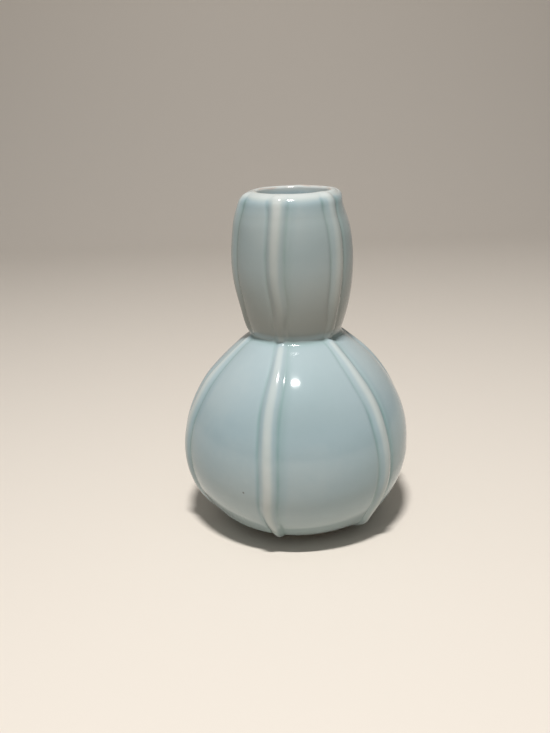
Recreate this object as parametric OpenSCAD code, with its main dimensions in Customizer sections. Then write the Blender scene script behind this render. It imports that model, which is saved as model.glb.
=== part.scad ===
// Double-gourd vase with raised ribs. The pieces are the clay members before they are luted and fired:
// a foot ring, two hollow thrown bulbs that meet at the waist, and a row of applied ribs on each bulb.
// Millimetres, +Z up. The origin is the centre of the foot ring's underside, and the first rib faces -Y.

/* [Lower bulb] */
// Outside diameter at the widest line
belly_d = 108; // [100:1:118]
// Height of the widest line above the foot ring
belly_rise = 37.5; // [35:0.5:41]
// Height of the waist above the foot ring
waist_rise = 90.5; // [87:0.5:98]
// Radius of the profile just above the widest line
shoulder_round = 48.5; // [45:0.5:52]
// Angle at which the profile above the widest line opens into its flatter shoulder
shoulder_turn = 23; // [19:0.5:27]
// Radius of the profile just below the widest line
haunch_round = 49.5; // [46:0.5:53]
// Angle at which the profile below the widest line turns under towards the foot
haunch_turn = 38; // [34:0.5:41]

/* [Waist] */
// Outside diameter of the crease where the two bulbs are luted together
waist_d = 40.5; // [37:0.5:44]
// Diameter of the passage between the two bulbs
throat_d = 26; // [22:0.5:29]

/* [Upper bulb] */
// Outside diameter at the widest line
upper_d = 54.5; // [51:0.5:60]
// Height of the widest line above the waist
upper_rise = 35.5; // [32:0.5:39]
// Height of the rim above the waist
rim_rise = 66.5; // [62:0.5:72]

/* [Mouth] */
// Inside diameter of the mouth
mouth_d = 32; // [30:0.5:34]
// Radius of the rounded inner edge of the rim
lip_edge = 1; // [0.6:0.1:1.4]
// Width of the flat land on top of the rim
lip_land = 0.4; // [0.2:0.1:0.8]
// Radius inside the wall where the cavity's roof meets its side
roof_round = 0.6; // [0.4:0.1:1]

/* [Wall] */
// Thickness of both bulbs
wall = 4; // [3:0.1:4.4]

/* [Ribs] */
// Number of ribs on each bulb
rib_count = 6; // [5:1:8]
// Height of the lower ribs at the widest line
lower_rib_h = 1.4; // [1:0.1:1.8]
// Height of the upper ribs at the widest line
upper_rib_h = 1; // [0.8:0.1:1.4]
// Height of all ribs at the waist
waist_rib_h = 0.5; // [0.4:0.1:0.8]
// Height of the lower ribs at their tips near the foot
foot_tip_h = 0.5; // [0.4:0.1:0.8]
// Height of the upper ribs where they reach the rim
rim_tip_h = 0.8; // [0.6:0.1:1]
// Radius of a rib's rounded back, seen end on
rib_round = 7; // [6:0.5:8]
// Distance from the foot ring's outside to the tips of the lower ribs
foot_tip_gap = 3; // [2:0.5:5]

/* [Foot ring] */
// Outside diameter where the ring meets the bulb
foot_d = 60; // [56:1:64]
// Height of the ring
foot_h = 3; // [2:0.5:5]
// Width of the ring where it meets the bulb
foot_band = 5; // [4:0.5:8]
// How far the ring's outside leans in from top to bottom
foot_draft = 0.8; // [0:0.1:1.2]
// Chamfer along both lower edges of the ring
foot_chamfer = 0.8; // [0.4:0.1:1.2]

/* [Hidden] */
$fn = 240;
// How far the mouth's cutting shape runs above the rim
overcut = 1;
// How far a rib's blank reaches into the bulb's wall below a full rib's height
blank_root = 1.6;
// Angle by which a rib's blank runs past the waist before it is trimmed flat there
trim_turn = 3;
// How far the faces where two stretches of a blank meet reach to either side of the crest line
wedge_reach = 15;
// Angle by which an upper rib runs past the point where the rim starts to round over
rim_overrun = 1.2;

belly_r = belly_d / 2;
belly_z = foot_h + belly_rise;
waist_z = foot_h + waist_rise;
waist = [waist_d / 2, waist_z];
upper_r = upper_d / 2;
upper_z = waist_z + upper_rise;
rim_z = waist_z + rim_rise;
foot_r = foot_d / 2;
foot_seat = [foot_r, foot_h];
throat_r = throat_d / 2;
mouth_r = mouth_d / 2;
rib_pitch = 360 / rib_count;

// The rim's outside is rounded about this centre
lip_round = wall + roof_round;
lip_centre = [mouth_r + lip_edge + lip_land, rim_z - lip_round];

// The throat and the mouth are bored from this far inside a cavity
bore_reach = 2 * wall;

// A rib's blank is this deep below its crest, so that its corners start inside the bulb's wall
blank_depth = blank_root + max(lower_rib_h, upper_rib_h);

function unit(angle) = [cos(angle), sin(angle)];

// Radii are kept to a thousandth of a millimetre, so that arcs that share an end agree on it
function thousandths(v) = round(1000 * v) / 1000;

// Radius of the arc that leaves the point start square to the unit vector normal and passes through end
function closing_radius(start, normal, end) =
    thousandths((start - end) * (start - end) / (2 * (normal * (start - end))));

// An arc of a profile: its centre, its radius, and the angles at its low and high ends
function arc(centre, radius, low, high) = [centre, radius, low, high];

// The arc that carries on from the point start, at the angle turn, as far as the height of the point end
function closing_arc(start, turn, end) =
    let(radius = closing_radius(start, unit(turn), end))
    let(centre = start - radius * unit(turn))
    let(reach = asin(max((end.y - centre.y) / radius, -1)))
    arc(centre, radius, min(turn, reach), max(turn, reach));

// Profile of the lower bulb, from the foot to the waist
haunch_centre = [belly_r - haunch_round, belly_z];
shoulder_centre = [belly_r - shoulder_round, belly_z];
under_arc = closing_arc(haunch_centre + haunch_round * unit(-haunch_turn), -haunch_turn, foot_seat);
neck_arc = closing_arc(shoulder_centre + shoulder_round * unit(shoulder_turn), shoulder_turn, waist);
lower_profile = [
    under_arc,
    arc(haunch_centre, haunch_round, -haunch_turn, 0),
    arc(shoulder_centre, shoulder_round, 0, shoulder_turn),
    neck_arc
];

// Profile of the upper bulb, from the waist to the top of the rim. Its upper arc runs smoothly into the
// rim's rounding, and that sets the arc's radius.
upper_widest = [upper_r, upper_z];
upper_low_arc = closing_arc(upper_widest, 0, waist);
lip_offset = lip_centre - upper_widest;
upper_top_round = thousandths(
    (lip_offset * lip_offset - lip_round ^ 2) / (-2 * (lip_offset.x + lip_round))
);
upper_top_centre = [upper_r - upper_top_round, upper_z];
lip_turn = asin(lip_offset.y / (upper_top_round - lip_round));
upper_profile = [
    upper_low_arc,
    arc(upper_top_centre, upper_top_round, 0, lip_turn),
    arc(upper_top_centre + (upper_top_round - lip_round) * unit(lip_turn), lip_round, lip_turn, 90)
];

// Crest line of a lower rib, from its tip near the foot to the waist
foot_tip_turn = -acos((foot_r + foot_tip_gap - under_arc[0].x) / under_arc[1]);
foot_tip = under_arc[0] + (under_arc[1] + foot_tip_h) * unit(foot_tip_turn);
lower_crest = [
    closing_arc(haunch_centre + (haunch_round + lower_rib_h) * unit(-haunch_turn), -haunch_turn, foot_tip),
    arc(haunch_centre, haunch_round + lower_rib_h, -haunch_turn, 0),
    arc(shoulder_centre, shoulder_round + lower_rib_h, 0, shoulder_turn),
    closing_arc(
        shoulder_centre + (shoulder_round + lower_rib_h) * unit(shoulder_turn),
        shoulder_turn,
        waist + waist_rib_h * unit(neck_arc[3])
    )
];

// Crest line of an upper rib, from the waist to the rim
upper_crest_widest = upper_widest + [upper_rib_h, 0];
rim_tip = upper_top_centre + (upper_top_round + rim_tip_h) * unit(lip_turn);
upper_crest = [
    closing_arc(upper_crest_widest, 0, waist + waist_rib_h * unit(upper_low_arc[2])),
    closing_arc(upper_crest_widest, 0, rim_tip)
];

LOWER_RIBS = [for (i = [1:rib_count]) str("lower_rib_", i)];
UPPER_RIBS = [for (i = [1:rib_count]) str("upper_rib_", i)];

// Moves its children in a coarse step and a fine one, so that the place holds more digits and
// neighbouring arcs run into each other without a step
module place(point) {
    coarse = [for (v = point) round(v)];
    translate(coarse)
        translate(point - coarse)
            children();
}

// A rectangle from the axis out to reach. Its corners are given outright, so that bands meet exactly.
module band(reach, bottom, top) {
    polygon([[0, bottom], [reach, bottom], [reach, top], [0, top]]);
}

// The half section between the axis and one arc of a profile, moved inwards by inset
module arc_band(arc, inset) {
    centre = arc[0];
    radius = arc[1] - inset;
    bottom = centre.y + radius * sin(arc[2]);
    top = centre.y + radius * sin(arc[3]);
    intersection() {
        place(centre) circle(radius);
        band(centre.x + radius, bottom, top);
    }
    if (centre.x > 0)
        band(centre.x, bottom, top);
}

// The half section inside a whole profile, moved inwards by inset
module half_section(profile, inset) {
    for (arc = profile)
        arc_band(arc, inset);
}

// The half section of the mouth: a straight bore with a rounded top edge
module mouth_section() {
    translate([0, rim_z - bore_reach])
        square([mouth_r, bore_reach + overcut]);
    difference() {
        translate([0, rim_z - lip_edge])
            square([mouth_r + lip_edge, lip_edge + overcut]);
        translate([mouth_r + lip_edge, rim_z - lip_edge])
            circle(lip_edge);
    }
}

// The half section of the passage through the waist
module throat_section() {
    translate([0, waist_z - bore_reach])
        square([throat_r, 2 * bore_reach]);
}

module foot_ring() {
    inner_r = foot_r - foot_band;
    color("tan")
        rotate_extrude()
            polygon([
                [inner_r, foot_h],
                [inner_r, foot_chamfer],
                [inner_r + foot_chamfer, 0],
                [foot_r - foot_draft - foot_chamfer, 0],
                [foot_r - foot_draft, foot_chamfer],
                [foot_r, foot_h]
            ]);
}

module lower_bulb() {
    color("powderblue")
        rotate_extrude()
            difference() {
                half_section(lower_profile, 0);
                half_section(lower_profile, wall);
                throat_section();
            }
}

module upper_bulb() {
    color("powderblue")
        rotate_extrude()
            difference() {
                half_section(upper_profile, 0);
                half_section(upper_profile, wall);
                throat_section();
                mouth_section();
            }
}

// One stretch of a rib's blank, bent along an arc of its crest line. It may run past either end of the
// arc. A wedge trims it from a full ring, so that neighbouring stretches meet exactly.
module blank_stretch(arc, past_low, past_high) {
    centre = arc[0];
    radius = arc[1];
    low = arc[2] - past_low;
    high = arc[3] + past_high;
    intersection() {
        place([centre.x, 0, centre.y])
            rotate([90, 0, 0])
                rotate_extrude()
                    intersection() {
                        translate([radius - rib_round, 0])
                            circle(rib_round);
                        translate([radius - blank_depth, -rib_round])
                            square([blank_depth, 2 * rib_round]);
                    }
        rotate([90, 0, 0])
            linear_extrude(4 * rib_round, center = true)
                polygon([
                    centre + (radius - wedge_reach) * unit(low),
                    centre + (radius + wedge_reach) * unit(low),
                    centre + (radius + wedge_reach) * unit(high),
                    centre + (radius - wedge_reach) * unit(high)
                ]);
    }
}

// A flat-sided slab between two heights, wide enough to hold a whole bulb
module slab(bottom, top) {
    translate([-belly_d, -belly_d, bottom])
        cube([2 * belly_d, 2 * belly_d, top - bottom]);
}

// A lower rib: its blank, trimmed flat at the waist and scribed to the bulb
module lower_rib(i) {
    color("azure")
        rotate([0, 0, i * rib_pitch - 90])
            difference() {
                intersection() {
                    for (k = [0:len(lower_crest) - 1])
                        blank_stretch(lower_crest[k], 0, k == len(lower_crest) - 1 ? trim_turn : 0);
                    slab(0, waist_z);
                }
                rotate_extrude()
                    half_section(lower_profile, 0);
            }
}

// An upper rib: its blank, trimmed flat at the waist and scribed to the bulb
module upper_rib(i) {
    color("azure")
        rotate([0, 0, i * rib_pitch - 90])
            difference() {
                intersection() {
                    union() {
                        blank_stretch(upper_crest[0], trim_turn, 0);
                        blank_stretch(upper_crest[1], 0, rim_overrun);
                    }
                    slab(waist_z, rim_z);
                }
                rotate_extrude()
                    half_section(upper_profile, 0);
            }
}

foot_ring();
lower_bulb();
upper_bulb();
for (i = [0:rib_count - 1]) {
    lower_rib(i);
    upper_rib(i);
}
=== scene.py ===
import bpy
import numpy as np
from mathutils import Matrix, Vector


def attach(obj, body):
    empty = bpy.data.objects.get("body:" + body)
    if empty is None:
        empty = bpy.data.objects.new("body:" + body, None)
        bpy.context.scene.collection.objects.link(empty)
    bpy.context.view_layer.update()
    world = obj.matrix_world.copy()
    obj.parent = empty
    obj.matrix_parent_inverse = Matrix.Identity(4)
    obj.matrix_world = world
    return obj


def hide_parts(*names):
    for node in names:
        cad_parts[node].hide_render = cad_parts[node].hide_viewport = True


bl_info = {
    "name": "Ribbed gourd vase",
    "version": (1, 0, 0),
    "blender": (4, 5, 0),
    "location": "View3D > Sidebar > Gourd Vase",
    "description": "Makes a glazed double-gourd vase with raised ribs over its solid model",
    "category": "Add Mesh",
}

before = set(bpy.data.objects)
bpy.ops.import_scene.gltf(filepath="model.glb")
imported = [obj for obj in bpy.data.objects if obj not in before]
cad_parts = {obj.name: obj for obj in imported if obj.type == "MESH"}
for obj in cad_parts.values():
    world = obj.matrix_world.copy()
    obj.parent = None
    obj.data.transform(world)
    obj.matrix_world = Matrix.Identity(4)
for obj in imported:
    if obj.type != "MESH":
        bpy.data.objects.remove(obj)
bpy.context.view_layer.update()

# Lengths in this file are in millimetres until a mesh is made.
MM = 0.001

# Lines of the round form that the relief lies on, as the solid model has them
FOOT_H = 3.0
FOOT_R, FOOT_INNER_R = 30.0, 25.0
BELLY_R, BELLY_Z = 54.0, 40.5
HAUNCH_ROUND, HAUNCH_TURN = 49.5, np.radians(38.0)
SHOULDER_ROUND, SHOULDER_TURN = 48.5, np.radians(23.0)
WAIST_R, WAIST_Z = 20.25, 93.5
UPPER_R, UPPER_Z = 27.25, 129.0
LIP_R, LIP_Z, LIP_ROUND = 17.4, 155.4, 4.6
RIM_Z = 160.0
MOUTH_EDGE_ROUND = 1.4
MOUTH_DRAFT = np.radians(6.0)
MOUTH_SHIFT = 1.3
THROAT_R = 13.0
WALL = 4.0

RIB_COUNT = 6
# The first rib faces -Y
RIB_AZIMUTHS = -np.pi / 2 + 2 * np.pi / RIB_COUNT * np.arange(RIB_COUNT)

# The rib width that the tables of half widths are drawn for
DRAWN_WIDTH = 9.3

# The photograph's left and right as azimuths, where the hand-made form leaves the round one
LEFT_SIDE = np.radians(201.0)
RIGHT_SIDE = np.radians(8.0)
FRONT_PANEL = np.radians(-74.0)
SECOND_TIP = np.radians(-31.0)
RIM_DENT = np.radians(20.0)
MOUTH_SIDE = np.radians(5.0)

# Both bulbs share these where they meet in the crease
CREASE_RIB_HALF = 3.2
CREASE_RIB_HEIGHT = 0.75
CREASE_SWELL = 0.25
CREASE_FILL = 1.4
CREASE_SHIFT = [-0.7, -0.3, -0.2, 0.3, -0.2, 0.2]

# Faces across a rib's back, across the bed under a rib, and across a panel
ACROSS_RIB = 17
ACROSS_BED = 8
ACROSS_PANEL = 42

# A rib sits in a shallow bed, which it doesn't quite fill
BED_DEPTH = 0.25
BED_FILL = 0.85

# How thick the glaze lies on a panel, under the foot and inside, from 0 to 1
PANEL_DEPTH = 0.5
UNDER_DEPTH = 0.55
INSIDE_DEPTH = 0.6

# The stage, in metres and degrees: the camera, the lamp and the floor with its backdrop, and the radius of
# the floor's clear disc with the slope of its sharp edge
CAMERA_PLACE = (0.0892, -0.3525, 0.1994)
CAMERA_YAW_PITCH_ROLL = (-15.7735, 18.753, -1.942)
CAMERA_LENS, CAMERA_SENSOR = 26.0, 24.0
LAMP_PLACE = (0.071, -0.330, 1.01)
LAMP_AIM = (0.0, 0.0, 0.08)
LAMP_LENGTH, LAMP_WIDTH = 0.17, 0.025
LAMP_COLOUR = (1.0, 0.985, 0.96)
FLOOR_FRONT, FLOOR_BACK, FLOOR_HALF_WIDTH = -1.6, 0.75, 2.2
FLOOR_BEND, BACKDROP_TOP = 0.5, 2.4
FLOOR_HEADING = -15.77
FOOT_DISC, SHARP = 0.0278, 100000.0


def unit(angle):
    """The unit vector at an angle from the radius towards the top."""
    return np.array([np.cos(angle), np.sin(angle)])


def smooth_step(low, high, value):
    """0 below low, 1 above high, and a smooth cubic between them."""
    t = np.clip((value - low) / (high - low), 0.0, 1.0)
    return t * t * (3.0 - 2.0 * t)


def bell(distance, width):
    """A Gaussian of height 1 round a distance of 0."""
    return np.exp(-((distance / width) ** 2))


def wrapped(turn):
    """An angle brought to within half a turn of 0."""
    return (turn + np.pi) % (2 * np.pi) - np.pi


def closing_arc(start, turn, end):
    """The arc that carries on from start at the angle turn and passes through end: its radius is the squared
    distance of the two over twice that distance taken along the normal."""
    step = start - end
    radius = step @ step / (2.0 * (unit(turn) @ step))
    centre = start - radius * unit(turn)
    return centre, radius, turn, np.arctan2(*(end - centre)[::-1])


def crease_fillet(low_arc, high_arc, radius):
    """The small round of pooled glaze between two bulging arcs: its centre is where both arcs, grown by the
    radius, cross outside the waist. Gives the centre and the angles of its low, middle and high points."""
    (c1, r1), (c2, r2) = low_arc, high_arc
    gap = c2 - c1
    span = np.hypot(*gap)
    along = (span**2 + (r1 + radius) ** 2 - (r2 + radius) ** 2) / (2.0 * span)
    across = np.sqrt((r1 + radius) ** 2 - along**2)
    side = np.array([gap[1], -gap[0]]) / span
    centre = c1 + gap * along / span + side * across
    ends = c1, np.array([WAIST_R, WAIST_Z]), c2
    return centre, *(np.arctan2(*(end - centre)[::-1]) % (2 * np.pi) for end in ends)


class Outline:
    """A line in the half plane of radius and height, made of arcs that run into each other.

    Each arc is its centre, radius, first angle, last angle and side: +1 where the outside lies away from the
    centre and -1 where it lies towards it. A point at a distance along the line is its arc's centre plus the
    radius times the unit vector at the angle that the distance has reached."""

    def __init__(self, arcs):
        self.centre, self.radius, self.first, self.last, self.side = map(np.array, zip(*arcs))
        self.marks = np.concatenate([[0.0], np.cumsum(self.radius * np.abs(self.last - self.first))])

    def at(self, s):
        """Radius, height and both parts of the outward normal at the distances s."""
        k = np.clip(np.searchsorted(self.marks, s, side="right") - 1, 0, len(self.radius) - 1)
        way = np.sign(self.last - self.first)[k]
        angle = self.first[k] + way * (s - self.marks[k]) / self.radius[k]
        c, d = np.cos(angle), np.sin(angle)
        radius, side = self.radius[k], self.side[k]
        return self.centre[k, 0] + radius * c, self.centre[k, 1] + radius * d, side * c, side * d

    def rows(self, spacing, extra=()):
        """Distances along the line: every arc in even steps of about the spacing, and the extra ones."""
        parts = [
            np.linspace(a, b, max(3, int(np.ceil((b - a) / step))), endpoint=False)
            for a, b, step in zip(self.marks[:-1], self.marks[1:], spacing)
        ]
        return np.unique(np.round(np.concatenate([*parts, [self.marks[-1]], list(extra)]), 6))


def settings():
    """The vase's settings in the open scene."""
    return bpy.context.scene.gourd_vase


def facing(azimuth, side, width):
    """1 towards one side of the vase, falling off as a Gaussian of the azimuth."""
    return bell(wrapped(azimuth - side), np.radians(width))


def towards_crease(height, closeness):
    """A rib's height brought to the one that both bulbs share in the crease, as the closeness goes to 1."""
    return height * (1.0 - closeness) + CREASE_RIB_HEIGHT * closeness


def plateau(low, high, edge, value):
    """1 between low and high, with smooth edges outside them."""
    return smooth_step(low - edge, low, value) * smooth_step(high + edge, high, value)


def waist_arcs():
    """The shoulder's centre, and the two arcs that meet at the waist: the lower bulb's neck, which carries on
    from the shoulder, and the upper bulb's foot, which carries on from its widest line."""
    shoulder = np.array([BELLY_R - SHOULDER_ROUND, BELLY_Z])
    waist = np.array([WAIST_R, WAIST_Z])
    neck = closing_arc(shoulder + SHOULDER_ROUND * unit(SHOULDER_TURN), SHOULDER_TURN, waist)
    return shoulder, neck, closing_arc(np.array([UPPER_R, UPPER_Z]), 0.0, waist)


def lower_outline(fillet):
    """The lower bulb from the foot's seat up to the middle of the waist's crease."""
    haunch = np.array([BELLY_R - HAUNCH_ROUND, BELLY_Z])
    under = closing_arc(haunch + HAUNCH_ROUND * unit(-HAUNCH_TURN), -HAUNCH_TURN, np.array([FOOT_R, FOOT_H]))
    shoulder, neck, upper = waist_arcs()
    centre, low, inward, _ = crease_fillet(neck[:2], upper[:2], fillet)
    return Outline(
        [
            (under[0], under[1], under[3], under[2], 1.0),
            (haunch, HAUNCH_ROUND, -HAUNCH_TURN, 0.0, 1.0),
            (shoulder, SHOULDER_ROUND, 0.0, SHOULDER_TURN, 1.0),
            (neck[0], neck[1], neck[2], low - np.pi, 1.0),
            (centre, fillet, low, inward, -1.0),
        ]
    )


def upper_outline(fillet):
    """The upper bulb from the middle of the crease up and over the rim, and down inside to the throat."""
    _, neck, low_arc = waist_arcs()
    centre, _, inward, high = crease_fillet(neck[:2], low_arc[:2], fillet)
    lip = np.array([LIP_R, LIP_Z])
    offset = lip - np.array([UPPER_R, UPPER_Z])
    top_round = (offset @ offset - LIP_ROUND**2) / (-2.0 * (offset[0] + LIP_ROUND))
    top = np.array([UPPER_R - top_round, UPPER_Z])
    lip_turn = np.arcsin(offset[1] / (top_round - LIP_ROUND))
    edge = np.array([LIP_R, RIM_Z - MOUTH_EDGE_ROUND])
    inner_turn = np.arctan2(edge[1] - top[1], edge[0] - top[0])
    inner_round = np.hypot(*(edge - top)) - MOUTH_EDGE_ROUND
    inner_low_round = low_arc[1] - (top_round - inner_round)
    throat_turn = -np.arcsin((UPPER_Z - WAIST_Z - WALL) / inner_low_round)
    return Outline(
        [
            (centre, fillet, inward, high, -1.0),
            (low_arc[0], low_arc[1], high - np.pi - 2 * np.pi * (high > 2 * np.pi), 0.0, 1.0),
            (top, top_round, 0.0, lip_turn, 1.0),
            (lip, LIP_ROUND, lip_turn, np.pi / 2, 1.0),
            (edge, MOUTH_EDGE_ROUND, np.pi / 2, np.pi + inner_turn, 1.0),
            (top, inner_round, inner_turn, 0.0, -1.0),
            (low_arc[0], inner_low_round, 0.0, throat_turn, -1.0),
        ]
    )


class Relief:
    """What lies on one bulb's round outline: heights along its normal, in millimetres, as functions of the
    distance s along the outline and the azimuth. Each kind has its outline_of, the name of its bulb, and
    the methods span, rows, ribs, wander, panel, depth and bare."""

    def __init__(self):
        self.outline = self.outline_of(settings().crease_fillet / MM)
        self.marks = self.outline.marks

    def radius(self, s):
        """The outline's distance from the axis."""
        return self.outline.at(s)[0]

    def height(self, s):
        """The outline's height."""
        return self.outline.at(s)[1]

    def centre_line(self, s, i):
        """Azimuth of the middle of rib i: its meridian plus its stray over the radius."""
        return RIB_AZIMUTHS[i] + self.wander(s, i) / self.radius(s)

    def edges(self, s, i):
        """Azimuths of both edges of rib i."""
        middle = self.centre_line(s, i)
        half = self.ribs(s)[0] / self.radius(s)
        return middle - half, middle + half

    def from_rib(self, s, azimuth):
        """Distance along the surface from the middle of the nearest rib, in millimetres, positive towards
        rising azimuths."""
        turns = wrapped(np.stack([azimuth - self.centre_line(s, i) for i in range(RIB_COUNT)]))
        nearest = np.abs(turns).argmin(axis=0)[None]
        return np.take_along_axis(turns, nearest, axis=0)[0] * self.radius(s)

    def point(self, s, azimuth, lift=0.0):
        """The outline's point turned to the azimuth and moved along its normal by the panel's height plus
        lift, then outwards by the shift and up by the rim's wave."""
        r, z, nr, nz = self.outline.at(s)
        h = self.panel(s, azimuth) + lift
        radius = r + nr * h + self.shift(s, azimuth)
        return np.stack(
            [radius * np.cos(azimuth), radius * np.sin(azimuth), z + nz * h + self.wave(s, azimuth)], axis=-1
        )

    def shift(self, s, azimuth):
        """Slip fills the waist's crease on the right."""
        narrow = self.radius(s) < BELLY_R / 2
        return CREASE_FILL * bell(self.height(s) - WAIST_Z, 3.0) * narrow * facing(azimuth, RIGHT_SIDE, 28)

    def wave(self, s, azimuth):
        """How far the surface rises; only the rim's does."""
        return np.zeros(np.broadcast(s, azimuth).shape)

    def normals(self, s, azimuth, lift=lambda s, azimuth: 0.0):
        """Cross product of the surface's two directions, each from points a hundredth of a millimetre off."""

        def lifted(s, azimuth):
            return self.point(s, azimuth, lift(s, azimuth))

        step = 0.01
        turn = step / np.maximum(self.radius(s), 1.0)
        across = lifted(s, azimuth + turn) - lifted(s, azimuth - turn)
        n = np.cross(across, lifted(s + step, azimuth) - lifted(s - step, azimuth))
        return n / np.linalg.norm(n, axis=-1, keepdims=True)

    def rib_lift(self, i):
        """Height of rib i over the panel: its own height times (1 - t * t) squared, where t is 1 at its
        edge."""

        def lift(s, azimuth):
            half, height = self.ribs(s)
            t = (azimuth - self.centre_line(s, i)) * self.radius(s) / half
            return height * np.clip(1.0 - t * t, 0.0, 1.0) ** 2

        return lift

    def lobes(self, azimuth):
        """Half of 1 - cos, which is 0 in the middle of a rib and 1 halfway between two."""
        return (1.0 - np.cos(RIB_COUNT * (azimuth - RIB_AZIMUTHS[0]))) / 2

    def groove(self, s, azimuth):
        """A shallow Gaussian groove along both edges of a rib."""
        off_edge = np.abs(self.from_rib(s, azimuth)) - self.ribs(s)[0]
        return -settings().groove_depth / MM * bell(off_edge, 1.0)

    def unevenness(self, s, azimuth):
        """Slow waves left by throwing and trimming: a sum of three sines in azimuth and height."""
        z = self.height(s)
        return settings().unevenness / MM * (
            0.45 * np.sin(2 * azimuth + 0.9 + z / 37.0)
            + 0.35 * np.sin(3 * azimuth - 1.7 - z / 23.0)
            + 0.20 * np.sin(5 * azimuth + 2.3 + z / 11.0)
        )

    def glaze_depth(self, s, azimuth, crest):
        """How thick the glaze lies, from 0 on a bare edge to 1 where it pools: it thins over a rib's crest,
        gathers in a line along both flanks, and has run to one side. In the waist's crease it pools and is
        deepened further into a dark line of painted shade."""
        x = self.from_rib(s, azimuth)
        half, height = self.ribs(s)
        z = self.height(s)
        present = np.clip(height / 0.6, 0.0, 1.0)
        uneven = 0.75 + 0.25 * np.sin(z / 7.0 + 3 * azimuth) * np.sin(z / 3.1 - azimuth)
        line = 0.46 * bell(np.abs(x) - half, 0.17 * half) * uneven
        run = 0.18 * bell(x - 1.35 * half, 0.45 * half)
        top = -0.30 * smooth_step(0.35, 1.0, crest)
        # Pooled glaze in the waist's crease, deepened into a dark line of painted shade
        crease = 0.5 * bell(z - WAIST_Z, 1.3)
        slow = 0.05 * np.sin(2 * azimuth + z / 19.0) + 0.04 * np.sin(3 * azimuth - z / 9.0 + 1.0)
        return PANEL_DEPTH + (line + run + top) * present + crease + slow


class LowerRelief(Relief):
    """The lower bulb's ribs and panels. The tables hold one value for each rib."""

    bulb = "lower"
    outline_of = staticmethod(lower_outline)
    # Where the ribs' rounded tips begin along the outline
    tip = 3.0
    wave_strength = [0.5, -0.35, 0.4, -0.45, 0.3, 0.45]
    wave_phase = [0.4, 2.1, 4.0, 5.2, 1.3, 3.0]
    foot_stray = [-2.0, 1.3, 0.4, -0.3, 0.6, -0.5]
    foot_stray_z = [22, 36, 24, 20, 26, 22]
    foot_stray_span = [12, 26, 12, 14, 12, 12]
    shoulder_stray = [-0.5, 1.3, -0.3, 0.3, -0.2, 0.2]

    def span(self):
        """Where the ribs begin and end along the outline."""
        return self.tip, self.marks[-1]

    def rows(self):
        """Distances of the rows, closer at the ribs' tips and in the crease."""
        tip = self.tip + np.array([0.0, 0.05, 0.15, 0.35, 0.6, 1.0, 1.5, 2.1, 2.8, 3.6])
        end = self.marks[-1] - np.array([2.6, 1.9, 1.3, 0.9])
        return self.outline.rows([0.9, 1.0, 1.0, 1.0, 0.1], [*tip, *end])

    def ribs(self, s):
        """Drawn half widths and heights by height, closed to a rounded tip at the foot: the rounding is the
        height of a quarter circle along the tip."""
        own = settings()
        z = self.height(np.maximum(s, self.tip))
        half = np.interp(z, [3, 8, 16, 30, 50, 75, 90], [2.6, 2.9, 3.6, 4.5, 4.65, 4.5, CREASE_RIB_HALF])
        height = np.interp(z, [3, 10, 30, 60, 84], [0.95, 1.0, 1.0, 0.88, 0.75])
        along = np.clip((s - self.tip) / 4.0, 0.0, 1.0)
        rounding = np.sqrt(np.clip(1.0 - (1.0 - along) ** 2, 0.0, 1.0))
        half = own.rib_width / MM / DRAWN_WIDTH * half * (0.14 + 0.86 * rounding)
        height = own.lower_rib_height / MM * height * (0.03 + 0.97 * rounding)
        return half, towards_crease(height, smooth_step(82, 92.5, z))

    def wander(self, s, i):
        """Slow waves, a stray near the foot, one under the shoulder, and the one shared at the crease."""
        z = self.height(s)
        low = self.foot_stray[i] * bell(z - self.foot_stray_z[i], self.foot_stray_span[i])
        high = self.shoulder_stray[i] * bell(z - 67.0, 10.0)
        waves = self.wave_strength[i] * np.sin(z / 13.0 + self.wave_phase[i]) * smooth_step(93.5, 80, z)
        return waves + low + high + CREASE_SHIFT[i] * bell(z - WAIST_Z, 9.0)

    def panel(self, s, azimuth):
        """Flatter panels between the ribs, a shallow groove along each rib, hand-made unevenness, the sides
        and the front's shoulder a little fuller than round, and a lump of clay under the second rib's tip."""
        r, z, _, _ = self.outline.at(s)
        inside = smooth_step(3.2, 12, z) * smooth_step(92.5, 84, z)
        lobes = -settings().panel_flatness / MM * self.lobes(azimuth) * (r / BELLY_R)
        left = 1.15 * plateau(18, 72, 12, z) * facing(azimuth, LEFT_SIDE, 17)
        right = 0.35 * plateau(16, 34, 6, z) * facing(azimuth, RIGHT_SIDE, 25)
        front = 1.3 * bell(z - 76, 10) * facing(azimuth, FRONT_PANEL, 18)
        uneven = self.unevenness(s, azimuth)
        lump = 1.0 * bell(z - 8, 3.5) * facing(azimuth, SECOND_TIP, 6)
        swell = CREASE_SWELL * smooth_step(86, 92.5, z)
        fuller = left + right + front
        return inside * (lobes + self.groove(s, azimuth) + uneven + fuller) + lump + swell

    def depth(self, s, azimuth, crest):
        """The glaze also gathers low down on the lower bulb."""
        gathered = 0.16 * smooth_step(16, 5, self.height(s))
        return np.clip(self.glaze_depth(s, azimuth, crest) + gathered, 0.0, 1.0)

    def bare(self, s, azimuth):
        """Where the glaze ends beside the foot ring: a thin brown band."""
        return np.clip(bell(s, 0.9 + 0.2 * np.sin(7 * azimuth)) * 0.9, 0.0, 1.0)


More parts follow.
